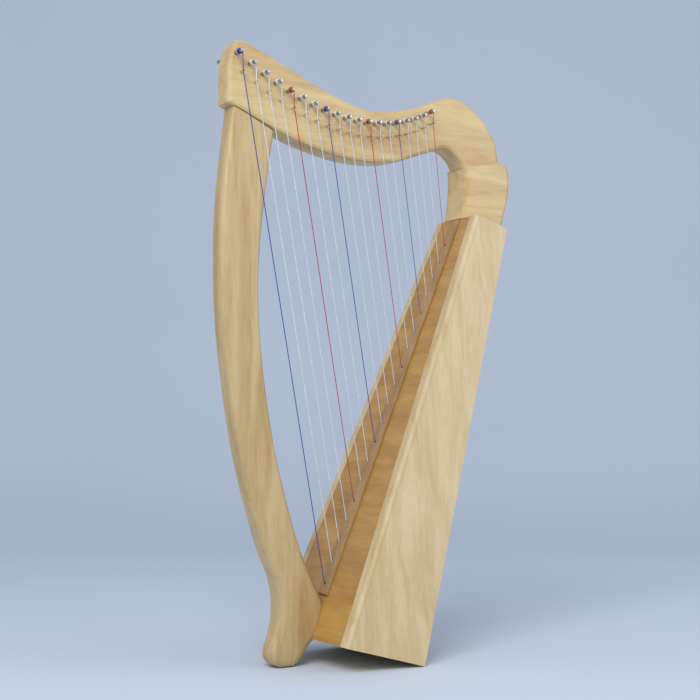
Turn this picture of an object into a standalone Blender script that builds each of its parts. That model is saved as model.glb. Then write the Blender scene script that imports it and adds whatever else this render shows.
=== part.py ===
"""A small lap harp of nineteen strings, modelled in metres with +Z up.

X runs from the pillar to the soundbox, -Y is the side of the neck that carries the strings, and the
origin is on the floor under the middle of the harp.
"""
import math

import bmesh
import bpy
from mathutils import Matrix, Vector

# Fits
GLUE_GAP = 0.0003
PIN_CLEARANCE = 0.0003

# Soundbox, in its own frame: X from front to back, Z along the box
BOX_FRONT_X = -0.0995
BOX_LEAN = math.radians(15.6)
BOX_LENGTH = 0.608
BOTTOM_DEPTH = 0.121
TOP_DEPTH = 0.055
FRONT_DRIFT = 0.0816
BOTTOM_HALF_WIDTH = 0.0926
TOP_HALF_WIDTH = 0.0466
SIDE_THICKNESS = 0.008
BOARD_THICKNESS = 0.005
BACK_THICKNESS = 0.004
END_THICKNESS = 0.010
EDGE_STRIP_WIDTH = 0.015
EDGE_STRIP_RISE = 0.001
EDGE_STRIP_ROUND = 0.0045
LINING_WIDTH = 0.016
LINING_DEPTH = 0.010
SOUND_HOLES = 4
SOUND_HOLE_SHARE = 0.34
SOUND_HOLE_SIDES = 20

# String rib and the rib behind the board
RIB_WIDTH = 0.021
RIB_THICKNESS = 0.004
RIB_ROUND = 0.0015
RIB_START = 0.058
INNER_RIB_WIDTH = 0.016
INNER_RIB_THICKNESS = 0.006
STRING_HOLE_RADIUS = 0.0015
STRING_HOLE_SIDES = 8

# Strings
STRING_COUNT = 19
LONGEST_STRING = 0.665
MIDDLE_STRING = 0.367
SHORTEST_STRING = 0.170
STRING_LEAN = math.radians(11.6)
BASS_RADIUS = 0.00062
TREBLE_RADIUS = 0.00040
FIRST_HOLE = 0.072
BASS_HOLE_STEP = 0.0289
TREBLE_HOLE_STEP = 0.0264
WINDING_TURNS = 2.5
POINTS_A_TURN = 8
WINDING_GAP = 0.00045
KNOT_SCALE = 3.2
HOLE_BEND = 0.0014

# Neck, pillar and shoulder: thickness across Y about one middle plane
FRAME_OFFSET = 0.008
NECK_THICKNESS = 0.033
PILLAR_THICKNESS = 0.031
SHOULDER_THICKNESS = 0.048
NECK_ROUND = 0.0045
PILLAR_ROUND = 0.008
SHOULDER_ROUND = 0.0055
JOINT_SLOPE = math.radians(12.5)
UNDERSIDE_SLOPE = math.radians(23.5)

# Pins
TUNING_PIN_RADIUS = 0.0025
TUNING_PIN_REACH = 0.017
TUNING_PIN_SIDES = 12
KEY_SQUARE = 0.0042
KEY_LENGTH = 0.015
PIN_TIP_ROUND = 0.0007
BRIDGE_PIN_RADIUS = 0.0016
BRIDGE_PIN_REACH = 0.0135
STRING_REACH = 0.011
BASS_PIN_GAP = 0.0240
TREBLE_PIN_GAP = 0.0155
PIN_ROW_LEAN = math.radians(16)

# Outlines of neck and shoulder, measured from the top front corner of the soundbox
NECK_END_X = -0.366
NECK_END_BOTTOM_Z = 0.1148
NECK_TOP = [
    (NECK_END_X, 0.165),
    (-0.3595, 0.188),
    (-0.345, 0.1968),
    (-0.292, 0.1780),
    (-0.225, 0.1512),
    (-0.152, 0.1341),
    (-0.082, 0.1465),
    (-0.015, 0.1719),
    (0.031, 0.1561),
    (0.062, 0.1212),
    (0.0704, 0.0876),
    (0.0715, 0.060),
]
NECK_UNDERSIDE = [
    (0.0062, 0.060),
    (0.0045, 0.0728),
    (-0.0050, 0.0868),
    (-0.0250, 0.0975),
    (-0.0500, 0.0900),
    (-0.1115, 0.0685),
    (-0.1765, 0.0624),
    (-0.2421, 0.0718),
    (-0.2880, 0.0846),
]
JOINT_HEIGHT = 0.0728
SHOULDER_INNER = [
    (-0.0060, -0.0180),
    (-0.0010, 0.0000),
    (0.0024, 0.0163),
    (0.0052, 0.0423),
    (0.0060, 0.0593),
    (0.0050, 0.0728),
]
SHOULDER_BACK = [
    (0.0720, 0.0877),
    (0.0815, 0.0820),
    (0.0845, 0.0590),
    (0.0827, 0.0393),
    (0.0767, 0.0153),
    (0.0600, -0.0380),
]

# Pillar edges: share of the height, and distance from the straight line between its ends
PILLAR_TOP_X = -0.3270
PILLAR_FOOT_X = -0.0420
PILLAR_FRONT = [(0.095, -0.0040), (0.150, 0.0020), (0.235, -0.0075), (0.410, -0.0120)]


def make_material(name, colour, roughness, metallic=0.0):
    """Return a Principled material, made once for each name."""
    material = bpy.data.materials.get(name)
    if material is None:
        material = bpy.data.materials.new(name)
        material.use_nodes = True
        shader = material.node_tree.nodes["Principled BSDF"]
        shader.inputs["Base Color"].default_value = (*colour, 1.0)
        shader.inputs["Roughness"].default_value = roughness
        shader.inputs["Metallic"].default_value = metallic
    return material


def new_object(name, mesh, group):
    """Put a mesh into the scene as a named object of one collection."""
    item = bpy.data.objects.new(name, mesh)
    group.objects.link(item)
    return item


def half_width(height):
    """Half the width of the soundbox at a height along it."""
    share = height / BOX_LENGTH
    return BOTTOM_HALF_WIDTH + (TOP_HALF_WIDTH - BOTTOM_HALF_WIDTH) * share


def front_at(height):
    """Distance of the soundboard's face from the box frame at a height along it."""
    return FRONT_DRIFT * height / BOX_LENGTH


def back_at(height):
    """Distance of the back's outer face from the box frame at a height along it."""
    share = height / BOX_LENGTH
    return front_at(height) + BOTTOM_DEPTH + (TOP_DEPTH - BOTTOM_DEPTH) * share


def box_to_world():
    """Matrix from the soundbox frame to the world: the lower back edge stands on the floor."""
    corner = Vector((BOX_FRONT_X, 0.0, BOTTOM_DEPTH * math.sin(BOX_LEAN)))
    return Matrix.Translation(corner) @ Matrix.Rotation(BOX_LEAN, 4, "Y")


def board_to_world():
    """Matrix of the soundboard's frame: X into the box, Z up along the board."""
    return box_to_world() @ Matrix.Rotation(math.atan2(FRONT_DRIFT, BOX_LENGTH), 4, "Y")


def slab(name, group, heights, edges, sides):
    """A six-sided tapered piece of the box.

    heights are its two ends, edges gives front and back at a height, sides gives its two Y faces.
    """
    mesh = bpy.data.meshes.new(name)
    work = bmesh.new()
    bmesh.ops.create_cube(work, size=2.0)
    for vert in work.verts:
        height = heights[0] if vert.co.z < 0 else heights[1]
        x = edges(height)[0 if vert.co.x < 0 else 1]
        y = sides(height)[0 if vert.co.y < 0 else 1]
        vert.co = (x, y, height)
    work.to_mesh(mesh)
    work.free()
    return new_object(name, mesh, group)


def outline_solid(name, group, points, low_y, high_y):
    """Extrude a flat outline of (x, z) points between two Y faces."""
    curve = bpy.data.curves.new(name, "CURVE")
    curve.dimensions = "2D"
    curve.fill_mode = "BOTH"
    curve.extrude = (high_y - low_y) / 2
    spline = curve.splines.new("POLY")
    spline.points.add(len(points) - 1)
    for point, (x, z) in zip(spline.points, points):
        point.co = (x, z, 0.0, 1.0)
    spline.use_cyclic_u = True
    item = bpy.data.objects.new(name, curve)
    group.objects.link(item)
    item.rotation_euler = (math.pi / 2, 0.0, 0.0)
    item.location = (0.0, (low_y + high_y) / 2, 0.0)
    return curve_to_mesh(item, group)


def curve_to_mesh(item, group):
    """Replace a curve object by its welded mesh, placed in the world."""
    bpy.context.view_layer.update()
    graph = bpy.context.evaluated_depsgraph_get()
    mesh = bpy.data.meshes.new_from_object(item.evaluated_get(graph))
    mesh.transform(item.matrix_world)
    work = bmesh.new()
    work.from_mesh(mesh)
    bmesh.ops.remove_doubles(work, verts=work.verts, dist=0.00001)
    bmesh.ops.dissolve_limit(work, angle_limit=0.001, verts=work.verts, edges=work.edges)
    bmesh.ops.recalc_face_normals(work, faces=work.faces)
    work.to_mesh(mesh)
    work.free()
    name = item.name
    data = item.data
    bpy.data.objects.remove(item)
    bpy.data.curves.remove(data)
    mesh.name = name
    return new_object(name, mesh, group)


def smooth_path(knots, steps):
    """Points of a smooth curve through the knots, with steps on each stretch (Catmull-Rom)."""
    path = []
    for index in range(len(knots) - 1):
        before = Vector(knots[max(index - 1, 0)])
        start = Vector(knots[index])
        end = Vector(knots[index + 1])
        after = Vector(knots[min(index + 2, len(knots) - 1)])
        for step in range(steps):
            t = step / steps
            value = 2 * start + (end - before) * t
            value += (2 * before - 5 * start + 4 * end - after) * t * t
            value += (3 * start - before - 3 * end + after) * t * t * t
            path.append(tuple(value / 2))
    path.append(tuple(knots[-1]))
    return path


def bevel_rims(item, width, segments, keep=None):
    """Round the long edges where an extruded outline meets its two faces."""
    work = bmesh.new()
    work.from_mesh(item.data)
    rims = []
    for edge in work.edges:
        flat = [abs(face.normal.y) > 0.9 for face in edge.link_faces]
        if sum(flat) == 1 and (keep is None or keep(edge)):
            rims.append(edge)
    bmesh.ops.bevel(
        work, geom=rims, offset=width, offset_type="OFFSET", segments=segments, profile=0.5,
        affect="EDGES", clamp_overlap=False,
    )
    work.to_mesh(item.data)
    work.free()


def combine(item, other, operation):
    """Apply a Boolean with another object, which is then removed."""
    bpy.context.view_layer.update()
    modifier = item.modifiers.new(operation.lower(), "BOOLEAN")
    modifier.operation = operation
    modifier.solver = "EXACT"
    modifier.object = other
    graph = bpy.context.evaluated_depsgraph_get()
    mesh = bpy.data.meshes.new_from_object(item.evaluated_get(graph))
    item.modifiers.remove(modifier)
    item.data = mesh
    bpy.data.objects.remove(other)


def cylinder(name, group, radius, length, sides, matrix):
    """A cylinder along local Z, from 0 to its length."""
    mesh = bpy.data.meshes.new(name)
    work = bmesh.new()
    bmesh.ops.create_cone(
        work, cap_ends=True, segments=sides, radius1=radius, radius2=radius, depth=length,
        matrix=matrix @ Matrix.Translation((0.0, 0.0, length / 2)),
    )
    work.to_mesh(mesh)
    work.free()
    return new_object(name, mesh, group)


def joined(name, group, items):
    """One cutter object from several separate solids."""
    work = bmesh.new()
    for item in items:
        work.from_mesh(item.data)
        bpy.data.objects.remove(item)
    mesh = bpy.data.meshes.new(name)
    work.to_mesh(mesh)
    work.free()
    return new_object(name, mesh, group)


def hole_distance(index):
    """Distance of a string's hole from the soundboard's lower end."""
    shrink = (BASS_HOLE_STEP - TREBLE_HOLE_STEP) / (2 * (STRING_COUNT - 1))
    return FIRST_HOLE + index * BASS_HOLE_STEP - shrink * index * index


def string_length(index):
    """Length from hole to bridge pin, on a curve through three given lengths."""
    t = index / (STRING_COUNT - 1)
    bend = 2 * (LONGEST_STRING + SHORTEST_STRING - 2 * MIDDLE_STRING)
    fall = LONGEST_STRING - SHORTEST_STRING + bend
    return LONGEST_STRING - fall * t + bend * t * t


def string_radius(index):
    """Half the string's diameter, thinner towards the treble."""
    t = index / (STRING_COUNT - 1)
    return BASS_RADIUS + (TREBLE_RADIUS - BASS_RADIUS) * t


def string_plane_y():
    """Y of the strings where they pass the bridge pins."""
    return FRAME_OFFSET - NECK_THICKNESS / 2 - STRING_REACH


def rib_hole(index):
    """World point where a string enters the rib."""
    return board_to_world() @ Vector((-RIB_THICKNESS, 0.0, hole_distance(index)))


def string_turn(index):
    """World point where a string passes its bridge pin."""
    hole = rib_hole(index)
    reach = string_length(index)
    x = hole.x - reach * math.sin(STRING_LEAN)
    z = hole.z + reach * math.cos(STRING_LEAN)
    return Vector((x, string_plane_y(), z))


def bridge_centre(index):
    """X and Z of a bridge pin's axis, just past the string's far side."""
    turn = string_turn(index)
    gap = BRIDGE_PIN_RADIUS + string_radius(index) + GLUE_GAP
    return Vector((turn.x + gap, 0.0, turn.z))


def tuning_centre(index):
    """X and Z of a tuning pin's axis."""
    t = index / (STRING_COUNT - 1)
    gap = BASS_PIN_GAP + (TREBLE_PIN_GAP - BASS_PIN_GAP) * t
    centre = bridge_centre(index)
    return centre + Vector((-gap * math.sin(PIN_ROW_LEAN), 0.0, gap * math.cos(PIN_ROW_LEAN)))


def along_y(centre, start_y):
    """Matrix that lays local Z along world +Y from a start."""
    return Matrix.Translation((centre.x, start_y, centre.z)) @ Matrix.Rotation(-math.pi / 2, 4, "X")


def from_shoulder(points):
    """Outline points in the world from points measured at the box's top front corner."""
    corner = box_to_world() @ Vector((front_at(BOX_LENGTH), 0.0, BOX_LENGTH))
    return [(corner.x + x, corner.z + z) for x, z in points]


def half_space(name, group, point, direction, size):
    """A large box whose face passes through a point and faces against a direction in XZ."""
    mesh = bpy.data.meshes.new(name)
    work = bmesh.new()
    bmesh.ops.create_cube(work, size=size)
    turn = Vector((0.0, 0.0, 1.0)).rotation_difference(Vector(direction)).to_matrix().to_4x4()
    place = Matrix.Translation(point) @ turn @ Matrix.Translation((0.0, 0.0, size / 2))
    bmesh.ops.transform(work, matrix=place, verts=work.verts)
    work.to_mesh(mesh)
    work.free()
    return new_object(name, mesh, group)


def frame_faces(thickness):
    """The two Y faces of a piece of the frame."""
    return FRAME_OFFSET - thickness / 2, FRAME_OFFSET + thickness / 2


def string_holes(group, depth_from, depth_to):
    """Cutter with one hole for each string, square to the soundboard."""
    turn = Matrix.Rotation(math.pi / 2, 4, "Y")
    items = []
    for index in range(STRING_COUNT):
        place = Matrix.Translation((depth_from, 0.0, hole_distance(index))) @ turn
        items.append(cylinder("hole", group, STRING_HOLE_RADIUS, depth_to - depth_from,
                              STRING_HOLE_SIDES, place))
    return joined("string_holes", group, items)


def finish(item, material, frame=None):
    """Give a piece its material and, for box pieces, its place in the world."""
    item.data.materials.clear()
    item.data.materials.append(material)
    if frame is not None:
        item.data.transform(frame)
    item.data.shade_smooth()
    item.data.set_sharp_from_angle(angle=math.radians(35))


def build_soundbox(group, cutters, wood, board_wood, rib_wood):
    """Sides, back, ends, linings, edge strips, soundboard and the two ribs."""
    frame = box_to_world()
    under_board = BOARD_THICKNESS + GLUE_GAP
    inner = SIDE_THICKNESS + GLUE_GAP
    for name, sign in (("left_side", -1), ("right_side", 1)):
        def faces(height, sign=sign):
            return sorted((sign * half_width(height), sign * (half_width(height) - SIDE_THICKNESS)))
        item = slab(name, group, (0.0, BOX_LENGTH),
                    lambda h: (front_at(h) + under_board, back_at(h)), faces)
        finish(item, wood, frame)
    for name, sign in (("left_lining", -1), ("right_lining", 1)):
        def faces(height, sign=sign):
            outer = half_width(height) - inner
            return sorted((sign * outer, sign * (outer - LINING_WIDTH)))
        low = END_THICKNESS + GLUE_GAP
        item = slab(name, group, (low, BOX_LENGTH - low),
                    lambda h: (front_at(h) + under_board, front_at(h) + under_board + LINING_DEPTH), faces)
        finish(item, wood, frame)
    for name, sign in (("left_edge_strip", -1), ("right_edge_strip", 1)):
        def faces(height, sign=sign):
            outer = half_width(height)
            return sorted((sign * outer, sign * (outer - EDGE_STRIP_WIDTH)))
        item = slab(name, group, (0.0, BOX_LENGTH),
                    lambda h: (front_at(h) - EDGE_STRIP_RISE, front_at(h) + BOARD_THICKNESS), faces)
        round_outer_edge(item, sign)
        finish(item, wood, frame)
    for name, low, high in (("bottom_board", 0.0, END_THICKNESS),
                            ("top_board", BOX_LENGTH - END_THICKNESS, BOX_LENGTH)):
        item = slab(name, group, (low, high),
                    lambda h: (front_at(h) + under_board, back_at(h) - BACK_THICKNESS - GLUE_GAP),
                    lambda h: (inner - half_width(h), half_width(h) - inner))
        finish(item, wood, frame)
    back = slab("back_panel", group, (0.0, BOX_LENGTH),
                lambda h: (back_at(h) - BACK_THICKNESS, back_at(h)),
                lambda h: (inner - half_width(h), half_width(h) - inner))
    combine(back, sound_hole_cutter(cutters), "DIFFERENCE")
    finish(back, wood, frame)
    side_gap = EDGE_STRIP_WIDTH + GLUE_GAP
    board = slab("soundboard", group, (0.0, BOX_LENGTH),
                 lambda h: (front_at(h), front_at(h) + BOARD_THICKNESS),
                 lambda h: (side_gap - half_width(h), half_width(h) - side_gap))
    board.data.transform(frame)
    place = board_to_world()
    holes = string_holes(cutters, -0.01, 0.03)
    holes.data.transform(place)
    combine(board, holes, "DIFFERENCE")
    finish(board, board_wood)
    length = math.hypot(BOX_LENGTH, FRONT_DRIFT)
    rib = slab("string_rib", group, (RIB_START, length - RIB_THICKNESS),
               lambda h: (-RIB_THICKNESS, -GLUE_GAP),
               lambda h: (-RIB_WIDTH / 2, RIB_WIDTH / 2))
    round_front_edges(rib)
    rib.data.transform(place)
    holes = string_holes(cutters, -0.01, 0.03)
    holes.data.transform(place)
    combine(rib, holes, "DIFFERENCE")
    finish(rib, rib_wood)
    low = END_THICKNESS + 2 * BOARD_THICKNESS
    inner_rib = slab("inner_rib", group, (low, length - low - END_THICKNESS),
                     lambda h: (under_board, under_board + INNER_RIB_THICKNESS),
                     lambda h: (-INNER_RIB_WIDTH / 2, INNER_RIB_WIDTH / 2))
    inner_rib.data.transform(place)
    holes = string_holes(cutters, -0.01, 0.03)
    holes.data.transform(place)
    combine(inner_rib, holes, "DIFFERENCE")
    finish(inner_rib, rib_wood)


def round_outer_edge(item, sign):
    """Round the front outer edge of an edge strip."""
    work = bmesh.new()
    work.from_mesh(item.data)
    edges = []
    for edge in work.edges:
        a, b = edge.verts
        long_edge = abs(a.co.z - b.co.z) > BOX_LENGTH / 2
        outer = min(sign * a.co.y - half_width(a.co.z), sign * b.co.y - half_width(b.co.z)) > -0.0001
        front = a.co.x < front_at(a.co.z) and b.co.x < front_at(b.co.z)
        if long_edge and outer and front:
            edges.append(edge)
    bmesh.ops.bevel(work, geom=edges, offset=EDGE_STRIP_ROUND, segments=4, profile=0.5, affect="EDGES")
    work.to_mesh(item.data)
    work.free()


def round_front_edges(item):
    """Round the two long front edges and the lower end of the string rib."""
    work = bmesh.new()
    work.from_mesh(item.data)
    low = min(vert.co.z for vert in work.verts)
    top = max(vert.co.z for vert in work.verts)
    front = min(vert.co.x for vert in work.verts)
    edges = []
    for edge in work.edges:
        at_front = all(vert.co.x < front + 0.0001 for vert in edge.verts)
        at_top = all(vert.co.z > top - 0.0001 for vert in edge.verts)
        if at_front and not at_top:
            edges.append(edge)
    bmesh.ops.bevel(work, geom=edges, offset=RIB_ROUND, segments=2, profile=0.5, affect="EDGES")
    work.to_mesh(item.data)
    work.free()


def sound_hole_cutter(group):
    """Round access holes up the back, each a share of the width there."""
    items = []
    for index in range(SOUND_HOLES):
        height = BOX_LENGTH * (index + 0.75) / (SOUND_HOLES + 0.5)
        radius = half_width(height) * SOUND_HOLE_SHARE
        place = Matrix.Translation((back_at(height) - 0.03, 0.0, height)) @ Matrix.Rotation(math.pi / 2, 4, "Y")
        items.append(cylinder("sound_hole", group, radius, 0.06, SOUND_HOLE_SIDES, place))
    return joined("sound_holes", group, items)


def joint_point():
    """World point of the neck's glue joint on the shoulder, and the direction out of the shoulder."""
    x, z = from_shoulder([(0.0050, JOINT_HEIGHT)])[0]
    return Vector((x, 0.0, z)), Vector((-math.sin(JOINT_SLOPE), 0.0, math.cos(JOINT_SLOPE)))


def underside_point():
    """World point of the neck's straight underside at its end, and the direction down from it."""
    x, z = from_shoulder([(NECK_END_X, NECK_END_BOTTOM_Z)])[0]
    down = Vector((-math.sin(UNDERSIDE_SLOPE), 0.0, -math.cos(UNDERSIDE_SLOPE)))
    return Vector((x, 0.0, z)), down


def build_shoulder(group, cutters, wood):
    """The thick block on top of the soundbox that carries the neck."""
    outline = smooth_path(SHOULDER_INNER, 4) + smooth_path(SHOULDER_BACK, 4)
    item = outline_solid("shoulder_block", group, from_shoulder(outline), *frame_faces(SHOULDER_THICKNESS))
    frame = box_to_world()
    top = frame @ Vector((0.0, 0.0, BOX_LENGTH + GLUE_GAP))
    down = frame.to_3x3() @ Vector((0.0, 0.0, -1.0))
    combine(item, half_space("below_shoulder", cutters, top, down, 0.4), "DIFFERENCE")
    joint = joint_point()[0]

    def away_from_joints(edge):
        middle = (edge.verts[0].co + edge.verts[1].co) / 2
        on_box = abs((middle - top).dot(down)) < 0.001
        on_neck = middle.z > joint.z - 0.001 and abs(edge.verts[0].co.x - edge.verts[1].co.x) > 0.04
        return not on_box and not on_neck

    bevel_rims(item, SHOULDER_ROUND, 2, away_from_joints)
    finish(item, wood)


def build_neck(group, cutters, wood):
    """The curved neck with its tuning pin holes and the bridge pins driven into it."""
    outline = smooth_path(NECK_TOP, 5) + smooth_path(NECK_UNDERSIDE, 5)
    outline.append((NECK_END_X, NECK_END_BOTTOM_Z))
    low, high = frame_faces(NECK_THICKNESS)
    item = outline_solid("neck", group, from_shoulder(outline), low, high)
    bevel_rims(item, NECK_ROUND, 2)
    point, out = joint_point()
    combine(item, half_space("below_joint", cutters, point + out * GLUE_GAP, -out, 0.3), "DIFFERENCE")
    holes = []
    for index in range(STRING_COUNT):
        place = along_y(tuning_centre(index), low - 0.01)
        holes.append(cylinder("pin_hole", cutters, TUNING_PIN_RADIUS + PIN_CLEARANCE,
                              NECK_THICKNESS + 0.02, TUNING_PIN_SIDES, place))
    combine(item, joined("pin_holes", cutters, holes), "DIFFERENCE")
    pins = []
    for index in range(STRING_COUNT):
        place = along_y(bridge_centre(index), low - BRIDGE_PIN_REACH)
        pins.append(cylinder("bridge_pin", cutters, BRIDGE_PIN_RADIUS, BRIDGE_PIN_REACH + 0.004, 8, place))
    combine(item, joined("bridge_pins", cutters, pins), "UNION")
    finish(item, wood)


def pillar_outline():
    """Outline of the pillar: its foot stands on the floor and its top runs into the neck."""
    end, down = underside_point()
    top_z = end.z
    lift = top_z / 0.7105
    front = [(-0.1420, 0.0), (-0.1530, 0.0060), (-0.1572, 0.0185), (-0.1500, 0.0410), (-0.1453, 0.0700)]
    front += [(x, z * lift) for x, z in (
        (-0.1502, 0.1084), (-0.1734, 0.1660), (-0.2050, 0.2800), (-0.2265, 0.4219),
        (-0.2306, 0.5282), (-0.2269, 0.6091), (-0.2140, 0.7200))]
    inner = [(x, z * lift) for x, z in (
        (-0.1470, 0.7200), (-0.1613, 0.6392), (-0.1752, 0.5100), (-0.1712, 0.4000),
        (-0.1520, 0.2776), (-0.1212, 0.1670))]
    inner += [(-0.0964, 0.1076), (-0.0790, 0.0720), (-0.0800, 0.0400), (-0.0988, 0.0265),
              (-0.1110, 0.0105), (-0.1220, 0.0)]
    return smooth_path(front, 4) + smooth_path(inner, 4)


def build_pillar(group, cutters, wood):
    """The bowed front pillar, glued to the soundboard's lower end and under the neck."""
    item = outline_solid("pillar", group, pillar_outline(), *frame_faces(PILLAR_THICKNESS))
    bevel_rims(item, PILLAR_ROUND, 3)
    end, down = underside_point()
    combine(item, half_space("above_pillar", cutters, end + down * GLUE_GAP, -down, 0.3), "DIFFERENCE")
    gap = GLUE_GAP
    seat = slab("box_seat", cutters, (-gap, BOX_LENGTH / 2),
                lambda h: (front_at(h) - gap, back_at(h)),
                lambda h: (-BOTTOM_HALF_WIDTH, BOTTOM_HALF_WIDTH))
    seat.data.transform(box_to_world())
    combine(item, seat, "DIFFERENCE")
    finish(item, wood)


def build_tuning_pins(group, cutters, steel):
    """Through pins: a round end for the string and a square end for the key."""
    low, high = frame_faces(NECK_THICKNESS)
    round_length = TUNING_PIN_REACH + NECK_THICKNESS + 0.002
    for index in range(STRING_COUNT):
        centre = tuning_centre(index)
        name = "tuning_pin_%02d" % (index + 1)
        work = bmesh.new()
        bmesh.ops.create_cone(work, cap_ends=True, segments=TUNING_PIN_SIDES, radius1=TUNING_PIN_RADIUS,
                              radius2=TUNING_PIN_RADIUS, depth=round_length)
        tip = [edge for edge in work.edges if all(vert.co.z < 0 for vert in edge.verts)]
        bmesh.ops.bevel(work, geom=tip, offset=PIN_TIP_ROUND, segments=2, profile=0.5, affect="EDGES")
        bmesh.ops.translate(work, vec=(0, 0, round_length / 2 - TUNING_PIN_REACH - NECK_THICKNESS / 2),
                            verts=work.verts)
        mesh = bpy.data.meshes.new(name)
        work.to_mesh(mesh)
        work.free()
        item = new_object(name, mesh, group)
        key = bmesh.new()
        bmesh.ops.create_cube(key, size=1.0)
        bmesh.ops.scale(key, vec=(KEY_SQUARE, KEY_SQUARE, KEY_LENGTH + 0.001), verts=key.verts)
        shift = NECK_THICKNESS / 2 + 0.002 + KEY_LENGTH - (KEY_LENGTH + 0.001) / 2
        bmesh.ops.translate(key, vec=(0, 0, shift), verts=key.verts)
        key_mesh = bpy.data.meshes.new("key_end")
        key.to_mesh(key_mesh)
        key.free()
        combine(item, new_object("key_end", key_mesh, cutters), "UNION")
        item.data.transform(Matrix.Rotation(-math.pi / 2, 4, "X"))
        item.location = (centre.x, FRAME_OFFSET, centre.z)
        finish(item, steel)


def string_route(index):
    """Points of one string: winding, run past the bridge pin, rib hole and the knot behind it."""
    radius = string_radius(index)
    centre = tuning_centre(index)
    coil = TUNING_PIN_RADIUS + radius + GLUE_GAP
    pitch = 2 * radius + WINDING_GAP
    plane = string_plane_y()
    turn = string_turn(index)
    count = round(WINDING_TURNS * POINTS_A_TURN)
    points = []
    for step in range(count + 1):
        left = (count - step) / POINTS_A_TURN
        angle = -2 * math.pi * left
        y = plane + pitch * left
        points.append(Vector((centre.x + coil * math.cos(angle), y, centre.z - coil * math.sin(angle))))
    hole = rib_hole(index)
    normal = (board_to_world().to_3x3() @ Vector((1.0, 0.0, 0.0))).normalized()
    points.append(turn)
    points.append(hole - normal * HOLE_BEND)
    behind = RIB_THICKNESS + BOARD_THICKNESS + 2 * GLUE_GAP + INNER_RIB_THICKNESS
    points.append(hole + normal * (behind + GLUE_GAP))
    knots = [1.0] * len(points)
    size = radius * KNOT_SCALE
    for share, scale in ((0.25, 0.8), (1.0, 1.0), (1.75, 0.8), (2.0, 0.3)):
        points.append(hole + normal * (behind + GLUE_GAP + 0.0004 + size * share))
        knots.append(KNOT_SCALE * scale)
    return points, knots


def build_strings(group, materials):
    """One tube for each string, from the winding on its pin to the knot inside the box."""
    for index in range(STRING_COUNT):
        name = "string_%02d" % (index + 1)
        points, scales = string_route(index)
        curve = bpy.data.curves.new(name, "CURVE")
        curve.dimensions = "3D"
        curve.bevel_depth = string_radius(index)
        curve.bevel_resolution = 1
        curve.use_fill_caps = True
        spline = curve.splines.new("POLY")
        spline.points.add(len(points) - 1)
        for target, place, scale in zip(spline.points, points, scales):
            target.co = (*place, 1.0)
            target.radius = scale
        item = bpy.data.objects.new(name, curve)
        group.objects.link(item)
        kind = {0: "blue", 4: "red"}.get(index % 7, "clear")
        curve.materials.append(materials[kind])


def clear_scene():
    """Remove every object of the scene the script starts in."""
    for item in list(bpy.data.objects):
        bpy.data.objects.remove(item)


def main():
    """Build the harp."""
    clear_scene()
    group = bpy.data.collections.new("harp")
    cutters = bpy.data.collections.new("harp_cutters")
    bpy.context.scene.collection.children.link(group)
    bpy.context.scene.collection.children.link(cutters)
    wood = make_material("beech", (0.57, 0.43, 0.24), 0.38)
    board_wood = make_material("soundboard_beech", (0.45, 0.26, 0.085), 0.35)
    rib_wood = make_material("rib_beech", (0.40, 0.27, 0.13), 0.35)
    steel = make_material("nickel_steel", (0.62, 0.62, 0.63), 0.25, 1.0)
    nylon = {
        "blue": make_material("blue_nylon", (0.05, 0.08, 0.45), 0.35),
        "red": make_material("red_nylon", (0.50, 0.03, 0.02), 0.35),
        "clear": make_material("clear_nylon", (0.75, 0.76, 0.78), 0.30),
    }
    build_soundbox(group, cutters, wood, board_wood, rib_wood)
    build_shoulder(group, cutters, wood)
    build_neck(group, cutters, wood)
    build_pillar(group, cutters, wood)
    build_tuning_pins(group, cutters, steel)
    build_strings(group, nylon)


main()
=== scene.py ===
"""Looks of a small wooden lap harp: grained beech, nickel pins and nylon strings.

The harp's solids come from the frame and keep their shapes. This script gives each one its material,
and adds the camera, a paper sweep for the harp to stand on, and the lights.
"""
import math

import bpy
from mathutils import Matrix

# Camera, in metres and degrees: it stands in front of the pillar, low, and looks slightly up
CAMERA_PLACE = (-0.9201, -1.3869, 0.2932)
CAMERA_PITCH = 3.88
CAMERA_AZIMUTH = -32.5
CAMERA_LENS = 63.87
CAMERA_SENSOR = 36.0

# Wood finishes as sRGB colours of 0 to 255: light and dark grain
SIDE_COLOURS = ((212, 190, 146), (190, 160, 108))
NECK_COLOURS = ((212, 186, 132), (186, 150, 98))
PILLAR_COLOURS = ((200, 174, 124), (172, 138, 84))
BOARD_COLOURS = ((190, 146, 78), (158, 114, 52))
# The rib's colours are the soundboard's wood painted darker and pinker: painted shade and painted backdrop
# reflection, with the light and dark pair still its grain
RIB_PAINTED_SHADE_COLOURS = ((176, 140, 88), (146, 108, 62))
WOOD_ROUGHNESS = 0.35
WOOD_COAT = 0.15

# Grain: noise squeezed across the fibres, and the lean of the soundbox's fibres
ACROSS_GRAIN = 8
BOARD_ACROSS_GRAIN = 7
ALONG_GRAIN = 1.0
PILLAR_ALONG_GRAIN = 0.9
BOX_GRAIN_LEAN = math.radians(17)
NECK_GRAIN_LEAN = 0.1
BAND_SCALE = 6.0
BAND_DETAIL = 6.0
BAND_DISTORTION = 0.6
PORE_SCALE = 42.0
PORE_DETAIL = 8.0
PORE_SHARE = 0.35
GRAIN_RANGE = (0.42, 0.82)
GRAIN_BUMP = 0.06
GRAIN_DEPTH = 0.0004

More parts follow.
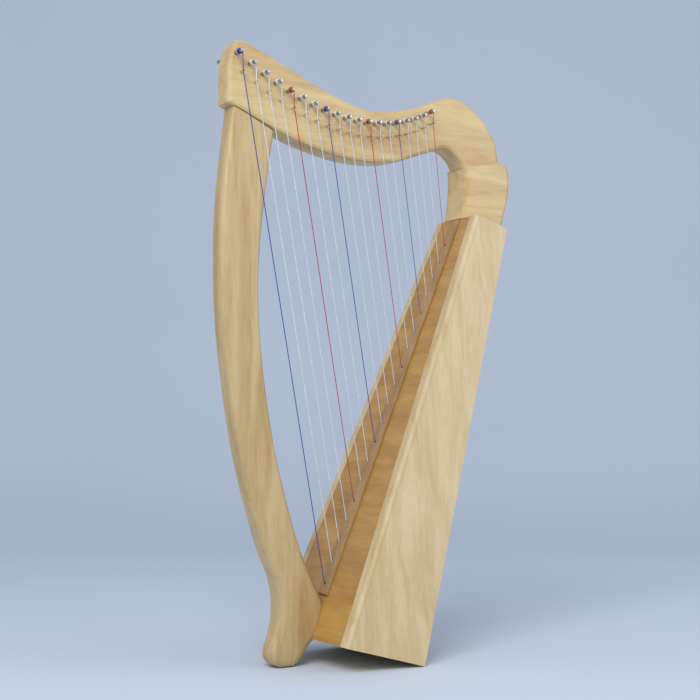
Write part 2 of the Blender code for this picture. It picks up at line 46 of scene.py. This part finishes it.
# Smooth finishes: two sRGB colours that drift into each other
NICKEL_COLOURS = ((205, 206, 208), (150, 150, 152))
NICKEL_ROUGHNESS = 0.24
NICKEL_SCALE = 300
BLUE_COLOURS = ((50, 60, 160), (40, 48, 140))
RED_COLOURS = ((190, 40, 40), (160, 30, 30))
CLEAR_COLOURS = ((222, 224, 228), (200, 202, 208))
DYED_ROUGHNESS = 0.3
CLEAR_ROUGHNESS = 0.25
NYLON_SCALE = 200
PAPER_COLOURS = ((205, 214, 226), (202, 211, 223))
PAPER_ROUGHNESS = 0.8
PAPER_SCALE = 1.0
DRIFT_RANGE = (0.35, 0.65)

# Strings: seven notes in an octave, with F blue, as the first string is, and C red
OCTAVE = 7
BLUE_NOTE = 0
RED_NOTE = 4

# Paper sweep: distance from the harp and height of its bends, in metres
SWEEP_PROFILE = [(-3.0, 0.0), (1.6, 0.0), (2.1, 0.06), (2.45, 0.3), (2.6, 0.7), (2.6, 4.0)]
SWEEP_HALF_WIDTH = 5.0
SWEEP_DROP = 0.0005
AWAY = (0.5373, 0.8434)
ASIDE = (0.8434, -0.5373)

# Light: sky colour and strength, then name, place, turn in degrees, size in metres and power in watts
SKY_COLOUR = (0.80, 0.87, 1.0, 1.0)
SKY_STRENGTH = 0.55
LAMPS = (
    ("key", (-1.8, -1.6, 2.2), (50, 0, -48), 1.6, 60),
    ("fill", (1.8, -1.8, 1.2), (65, 0, 45), 2.0, 18),
)


def linear(colour):
    """Linear colour with alpha from an sRGB colour of 0 to 255."""
    values = []
    for level in colour:
        c = level / 255
        values.append(c / 12.92 if c <= 0.04045 else ((c + 0.055) / 1.055) ** 2.4)
    return (*values, 1.0)


def new_material(name):
    """A material with its node tree and its Principled shader."""
    material = bpy.data.materials.new(name)
    material.use_nodes = True
    return material, material.node_tree, material.node_tree.nodes["Principled BSDF"]


def noise(tree, place, scale, detail=None, distortion=None):
    """A noise texture read at a place."""
    node = tree.nodes.new("ShaderNodeTexNoise")
    node.inputs["Scale"].default_value = scale
    if detail is not None:
        node.inputs["Detail"].default_value = detail
    if distortion is not None:
        node.inputs["Distortion"].default_value = distortion
    tree.links.new(place, node.inputs["Vector"])
    return node.outputs["Fac"]


def between(tree, value, colours, limits):
    """The colour between two sRGB colours, light first, as a value goes from the low limit to the high."""
    ramp = tree.nodes.new("ShaderNodeValToRGB")
    low, high = ramp.color_ramp.elements
    low.position, high.position = limits
    low.color = linear(colours[1])
    high.color = linear(colours[0])
    tree.links.new(value, ramp.inputs["Fac"])
    return ramp.outputs["Color"]


def wood(name, colours, stretch, turn):
    """Varnished beech: long grain bands, fine pores and short flecks."""
    material, tree, shader = new_material(name)
    place = tree.nodes.new("ShaderNodeTexCoord")
    mapping = tree.nodes.new("ShaderNodeMapping")
    mapping.inputs["Rotation"].default_value = turn
    mapping.inputs["Scale"].default_value = stretch
    tree.links.new(place.outputs["Object"], mapping.inputs["Vector"])
    bands = noise(tree, mapping.outputs["Vector"], BAND_SCALE, BAND_DETAIL, BAND_DISTORTION)
    pores = noise(tree, mapping.outputs["Vector"], PORE_SCALE, PORE_DETAIL)
    grain = tree.nodes.new("ShaderNodeMath")
    grain.operation = "MULTIPLY_ADD"
    grain.inputs[1].default_value = PORE_SHARE
    tree.links.new(pores, grain.inputs[0])
    tree.links.new(bands, grain.inputs[2])
    colour = between(tree, grain.outputs["Value"], colours, GRAIN_RANGE)
    tree.links.new(colour, shader.inputs["Base Color"])
    bump = tree.nodes.new("ShaderNodeBump")
    bump.inputs["Strength"].default_value = GRAIN_BUMP
    bump.inputs["Distance"].default_value = GRAIN_DEPTH
    tree.links.new(grain.outputs["Value"], bump.inputs["Height"])
    tree.links.new(bump.outputs["Normal"], shader.inputs["Normal"])
    shader.inputs["Roughness"].default_value = WOOD_ROUGHNESS
    shader.inputs["Coat Weight"].default_value = WOOD_COAT
    return material


def plain(name, colours, roughness, metallic, scale):
    """A smooth finish whose colour drifts slightly."""
    material, tree, shader = new_material(name)
    place = tree.nodes.new("ShaderNodeTexCoord")
    drift = noise(tree, place.outputs["Object"], scale)
    tree.links.new(between(tree, drift, colours, DRIFT_RANGE), shader.inputs["Base Color"])
    shader.inputs["Roughness"].default_value = roughness
    shader.inputs["Metallic"].default_value = metallic
    return material


def add_camera(scene):
    """Create the camera and make it the scene's."""
    data = bpy.data.cameras.new("camera")
    data.lens = CAMERA_LENS
    data.sensor_width = CAMERA_SENSOR
    data.dof.use_dof = False
    camera = bpy.data.objects.new("camera", data)
    scene.collection.objects.link(camera)
    camera.location = CAMERA_PLACE
    camera.rotation_euler = (math.radians(90 + CAMERA_PITCH), 0.0, math.radians(CAMERA_AZIMUTH))
    scene.camera = camera


def dress(nodes):
    """Give every CAD node its material."""
    box_turn = (0, BOX_GRAIN_LEAN, 0)
    upright = (ACROSS_GRAIN, ACROSS_GRAIN, ALONG_GRAIN)
    side_wood = wood("side_wood", SIDE_COLOURS, upright, box_turn)
    neck_wood = wood("neck_wood", NECK_COLOURS, (ALONG_GRAIN, ACROSS_GRAIN, ACROSS_GRAIN),
                     (0, NECK_GRAIN_LEAN, 0))
    pillar_wood = wood("pillar_wood", PILLAR_COLOURS, (ACROSS_GRAIN, ACROSS_GRAIN, PILLAR_ALONG_GRAIN),
                       (0, 0, 0))
    board_wood = wood("board_wood", BOARD_COLOURS, (BOARD_ACROSS_GRAIN, ALONG_GRAIN, BOARD_ACROSS_GRAIN),
                      (0, 0, 0))
    # The rib's wood takes the darker, pinker colours, painted shade and painted backdrop reflection, for
    # string_rib and inner_rib
    rib_wood_painted_shade = wood("rib_wood_painted_shade", RIB_PAINTED_SHADE_COLOURS, upright, box_turn)
    steel = plain("nickel", NICKEL_COLOURS, NICKEL_ROUGHNESS, 1.0, NICKEL_SCALE)
    marked = {
        BLUE_NOTE: plain("blue_nylon", BLUE_COLOURS, DYED_ROUGHNESS, 0.0, NYLON_SCALE),
        RED_NOTE: plain("red_nylon", RED_COLOURS, DYED_ROUGHNESS, 0.0, NYLON_SCALE),
    }
    clear_nylon = plain("clear_nylon", CLEAR_COLOURS, CLEAR_ROUGHNESS, 0.0, NYLON_SCALE)
    named = {
        "string_rib": rib_wood_painted_shade,
        "inner_rib": rib_wood_painted_shade,
        "soundboard": board_wood,
        "pillar": pillar_wood,
        "neck": neck_wood,
        "shoulder_block": neck_wood,
    }
    for name, node in nodes.items():
        if name in named:
            material = named[name]
        elif name.startswith("tuning_pin"):
            material = steel
        elif name.startswith("string_"):
            material = marked.get((int(name[-2:]) - 1) % OCTAVE, clear_nylon)
        else:
            material = side_wood
        if not node.material_slots:
            node.data.materials.append(material)
        for slot in node.material_slots:
            slot.material = material


def add_sweep(scene):
    """One sheet of paper that is the floor and curves up behind the harp."""
    verts = []
    for reach, height in SWEEP_PROFILE:
        for across in (-SWEEP_HALF_WIDTH, SWEEP_HALF_WIDTH):
            x = AWAY[0] * reach + ASIDE[0] * across
            y = AWAY[1] * reach + ASIDE[1] * across
            verts.append((x, y, height - SWEEP_DROP))
    faces = [(2 * i, 2 * i + 1, 2 * i + 3, 2 * i + 2) for i in range(len(SWEEP_PROFILE) - 1)]
    mesh = bpy.data.meshes.new("backdrop")
    mesh.from_pydata(verts, [], faces)
    mesh.shade_smooth()
    mesh.materials.append(plain("paper", PAPER_COLOURS, PAPER_ROUGHNESS, 0.0, PAPER_SCALE))
    backdrop = bpy.data.objects.new("backdrop", mesh)
    scene.collection.objects.link(backdrop)


def add_lights(scene):
    """An even sky with a large lamp on each side of the camera."""
    world = bpy.data.worlds.new("world")
    scene.world = world
    world.use_nodes = True
    sky = world.node_tree.nodes["Background"]
    sky.inputs["Color"].default_value = SKY_COLOUR
    sky.inputs["Strength"].default_value = SKY_STRENGTH
    for name, place, turn, size, power in LAMPS:
        light = bpy.data.lights.new(name, "AREA")
        light.size = size
        light.energy = power
        lamp = bpy.data.objects.new(name, light)
        lamp.location = place
        lamp.rotation_euler = tuple(math.radians(angle) for angle in turn)
        scene.collection.objects.link(lamp)


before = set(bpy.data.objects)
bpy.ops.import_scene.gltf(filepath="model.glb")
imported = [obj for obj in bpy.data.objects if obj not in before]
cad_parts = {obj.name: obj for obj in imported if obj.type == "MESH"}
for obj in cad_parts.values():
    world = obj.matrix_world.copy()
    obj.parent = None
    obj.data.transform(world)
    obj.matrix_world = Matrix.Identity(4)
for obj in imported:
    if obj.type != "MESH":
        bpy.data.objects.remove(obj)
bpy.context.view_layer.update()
scene = bpy.context.scene
scene.view_settings.view_transform = "Standard"
add_camera(scene)
dress(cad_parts)
add_sweep(scene)
add_lights(scene)
